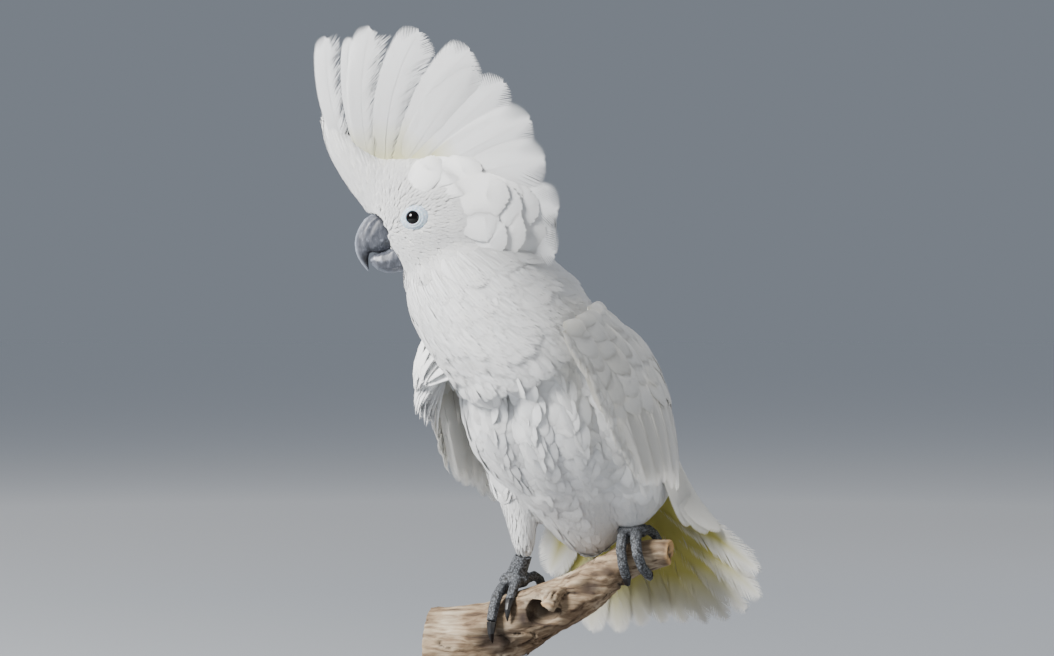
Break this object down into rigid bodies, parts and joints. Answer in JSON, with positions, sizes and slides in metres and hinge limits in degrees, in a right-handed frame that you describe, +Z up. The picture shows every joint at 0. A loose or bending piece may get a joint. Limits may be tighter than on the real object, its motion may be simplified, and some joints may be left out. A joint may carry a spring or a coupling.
{
  "type": "umbrella cockatoo model",
  "caption": "White umbrella cockatoo with raised crest and fanned tail, gripping a cut length of driftwood on a plain display stand.",
  "frame": {"origin": "centre of the underside of the stand's base, on the floor", "axes": "+Z up, -Y the way the breast faces, +X to the bird's left"},
  "size_m": [0.2365, 0.245, 0.5193],
  "materials": {
    "plumage": "soft white feathers",
    "crest_plumage": "white feathers, pale yellow at the roots",
    "tail_plumage": "white feathers with a yellow wash beneath",
    "horn": "dark grey horn with pale powder",
    "claw_horn": "near-black horn",
    "eye": "wet, glossy, black-brown",
    "foot_skin": "dark grey scaly skin",
    "driftwood": "weathered, bare, cracked",
    "base_wood": "dark stained, satin",
    "rod_steel": "brushed"
  },
  "bodies": {
    "root": {"head": "plumage", "neck": "plumage", "trunk": "plumage", "thigh_left": "plumage", "thigh_right": "plumage", "wing_left": "plumage", "wing_right": "plumage", "crest": "crest_plumage", "tail": "tail_plumage", "bill_upper": "horn", "bill_lower": "horn", "eye_left": "eye", "eye_right": "eye", "foot_left": "foot_skin", "foot_right": "foot_skin", "claw_left_1": "claw_horn", "claw_left_2": "claw_horn", "claw_left_3": "claw_horn", "claw_left_4": "claw_horn", "claw_right_1": "claw_horn", "claw_right_2": "claw_horn", "claw_right_3": "claw_horn", "claw_right_4": "claw_horn", "perch": "driftwood", "stand_base": "base_wood", "stand_rod_1": "rod_steel", "stand_rod_2": "rod_steel"}
  },
  "joints": []
}
